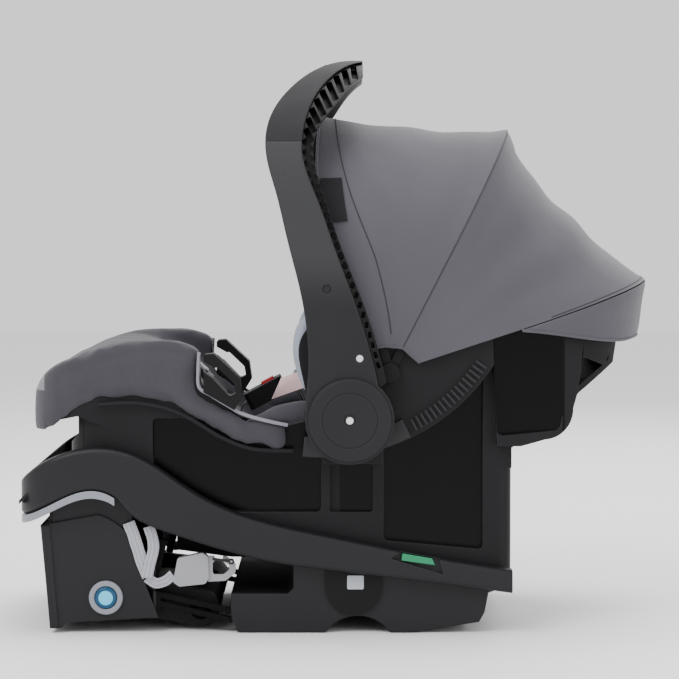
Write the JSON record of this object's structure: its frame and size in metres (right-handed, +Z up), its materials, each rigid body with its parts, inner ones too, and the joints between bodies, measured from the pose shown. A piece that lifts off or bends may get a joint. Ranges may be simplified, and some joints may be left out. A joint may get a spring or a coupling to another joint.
{
  "type": "infant car seat",
  "caption": "Rear-facing infant carrier with a swinging carry handle, folding canopy, padded seat and harness, locked on a vehicle base with a swing-out recline foot.",
  "frame": {"origin": "centre of the bounding box in plan, on the plane that the base stands on", "axes": "+X towards the head end, +Y towards the occupant's right, +Z up"},
  "size_m": [0.6959, 0.4392, 0.629],
  "materials": {
    "base_plastic": "fine satin grain",
    "shell_plastic": "satin, with a faint sheen on the flat walls",
    "handle_plastic": "fine grain",
    "dark_plastic": "fine grain",
    "trim_grey": "smooth",
    "pale_window": "smooth",
    "connector_grey": "smooth",
    "green_plastic": "smooth",
    "blue_plastic": "smooth",
    "red_plastic": "smooth",
    "steel": "plain",
    "rubber": "matt",
    "grip_rubber": "matt, ribbed",
    "grey_webbing": "woven webbing",
    "black_webbing": "woven webbing",
    "pad_fabric": "woven",
    "lining_fabric": "soft knit",
    "canopy_fabric": "plain weave",
    "tag_fabric": "printed tag, left blank",
    "foam_grey": "foam"
  },
  "bodies": {
    "base": {"base_tray": "base_plastic", "rim_trim": "trim_grey", "base_front_housing": "base_plastic", "base_rear_housing": "base_plastic", "level_housings": "dark_plastic", "level_windows": "pale_window", "lock_indicators": "green_plastic", "belt_path_frame": "base_plastic", "foot_pivot_rod": "steel", "foot_button_bezels": "trim_grey", "latch_bar": "steel", "latch_bar_brackets": "dark_plastic", "rubber_feet": "rubber", "anchor_webbing": "grey_webbing", "anchor_connectors": "connector_grey"},
    "connector_gate_left": {"connector_gate_left": "steel"},
    "connector_gate_right": {"connector_gate_right": "steel"},
    "recline_foot": {"recline_foot": "dark_plastic", "foot_grips": "rubber"},
    "foot_button_left": {"foot_button_left": "blue_plastic"},
    "foot_button_right": {"foot_button_right": "blue_plastic"},
    "carrier": {"carrier_shell": "shell_plastic", "side_grips": "grip_rubber", "belt_guides": "dark_plastic", "hub_sockets": "dark_plastic", "handle_rivets": "steel", "seat_pad": "pad_fabric", "pad_apron": "pad_fabric", "foam_liner": "foam_grey", "body_support": "lining_fabric", "head_pillow": "lining_fabric", "shoulder_straps": "black_webbing", "lap_straps": "black_webbing", "buckle_tongues": "steel", "buckle_body": "dark_plastic", "crotch_strap": "black_webbing", "care_tag": "tag_fabric", "adjuster_housing": "dark_plastic", "latch_pivot_rod": "steel", "lever_rod": "steel", "canopy_mounts": "dark_plastic", "canopy_rear_panel": "canopy_fabric", "canopy_tail": "canopy_fabric"},
    "chest_clip": {"chest_clip_left": "dark_plastic", "chest_clip_right": "dark_plastic"},
    "buckle_button": {"buckle_button": "red_plastic"},
    "adjuster_button": {"adjuster_button": "trim_grey"},
    "release_lever": {"release_lever": "dark_plastic"},
    "latch_hooks": {"latch_hooks": "steel"},
    "canopy_mid": {"canopy_mid_bow": "dark_plastic"},
    "canopy_front": {"canopy_front_bow": "dark_plastic", "canopy_front_panel": "canopy_fabric"},
    "handle": {"handle_frame": "handle_plastic", "handle_ribs": "dark_plastic", "handle_grip": "grip_rubber", "hub_caps": "handle_plastic", "handle_screws": "steel"},
    "handle_button_left": {"handle_button_left": "trim_grey"},
    "handle_button_right": {"handle_button_right": "trim_grey"}
  },
  "joints": [
    {"name": "carrier_lift", "type": "slide", "parent": "base", "child": "carrier", "axis": [0, 0, 1], "range_m": [0, 0.25]},
    {"name": "foot_swing", "type": "hinge", "parent": "base", "child": "recline_foot", "pos_m": [-0.254, 0, 0.039], "axis": [0, 1, 0], "range_deg": [0, 116]},
    {"name": "foot_button_left_press", "type": "slide", "parent": "base", "child": "foot_button_left", "axis": [0, 1, 0], "range_m": [0, 0.0035], "stiffness_N_per_m": 400},
    {"name": "foot_button_right_press", "type": "slide", "parent": "base", "child": "foot_button_right", "axis": [0, -1, 0], "range_m": [0, 0.0035], "stiffness_N_per_m": 400},
    {"name": "connector_gate_left_swing", "type": "hinge", "parent": "base", "child": "connector_gate_left", "pos_m": [-0.1175, -0.16, 0.0785], "axis": [0, -1, 0], "range_deg": [0, 25], "stiffness_Nm_per_rad": 0.02},
    {"name": "connector_gate_right_swing", "type": "hinge", "parent": "base", "child": "connector_gate_right", "pos_m": [-0.1175, 0.16, 0.0785], "axis": [0, -1, 0], "range_deg": [0, 25], "stiffness_Nm_per_rad": 0.02},
    {"name": "handle_swing", "type": "hinge", "parent": "carrier", "child": "handle", "pos_m": [0.011, 0, 0.236], "axis": [0, 1, 0], "range_deg": [-66, 115]},
    {"name": "handle_button_left_press", "type": "slide", "parent": "handle", "child": "handle_button_left", "axis": [0, -1, 0], "range_m": [0, 0.003], "stiffness_N_per_m": 400},
    {"name": "handle_button_right_press", "type": "slide", "parent": "handle", "child": "handle_button_right", "axis": [0, 1, 0], "range_m": [0, 0.003], "stiffness_N_per_m": 400},
    {"name": "canopy_mid_fold", "type": "hinge", "parent": "carrier", "child": "canopy_mid", "pos_m": [0.054, 0, 0.285], "axis": [0, 1, 0], "range_deg": [0, 40], "deforming": ["canopy_rear_panel"]},
    {"name": "canopy_front_fold", "type": "hinge", "parent": "canopy_mid", "child": "canopy_front", "pos_m": [0.054, 0, 0.285], "axis": [0, 1, 0], "range_deg": [0, 37.5], "deforming": ["canopy_front_panel"]},
    {"name": "release_lever_pull", "type": "hinge", "parent": "carrier", "child": "release_lever", "pos_m": [0.206, 0, 0.222], "axis": [0, -1, 0], "range_deg": [0, 14], "stiffness_Nm_per_rad": 1.5},
    {"name": "latch_hooks_swing", "type": "hinge", "parent": "carrier", "child": "latch_hooks", "pos_m": [0.146, 0, 0.134], "axis": [0, -1, 0], "range_deg": [0, 8.2], "stiffness_Nm_per_rad": 1},
    {"name": "buckle_button_press", "type": "slide", "parent": "carrier", "child": "buckle_button", "axis": [0.4695, 0, -0.8829], "range_m": [0, 0.004], "stiffness_N_per_m": 500},
    {"name": "adjuster_button_press", "type": "slide", "parent": "carrier", "child": "adjuster_button", "axis": [-0.6691, 0, -0.7431], "range_m": [0, 0.003], "stiffness_N_per_m": 500},
    {"name": "chest_clip_slide", "type": "slide", "parent": "carrier", "child": "chest_clip", "axis": [0.7034, 0, 0.7108], "range_m": [-0.011, 0.013]}
  ],
  "couplings": [
    {"joint": "canopy_front_fold", "follows": "canopy_mid_fold", "ratio": 0.93},
    {"joint": "latch_hooks_swing", "follows": "release_lever_pull", "ratio": 0.58}
  ]
}
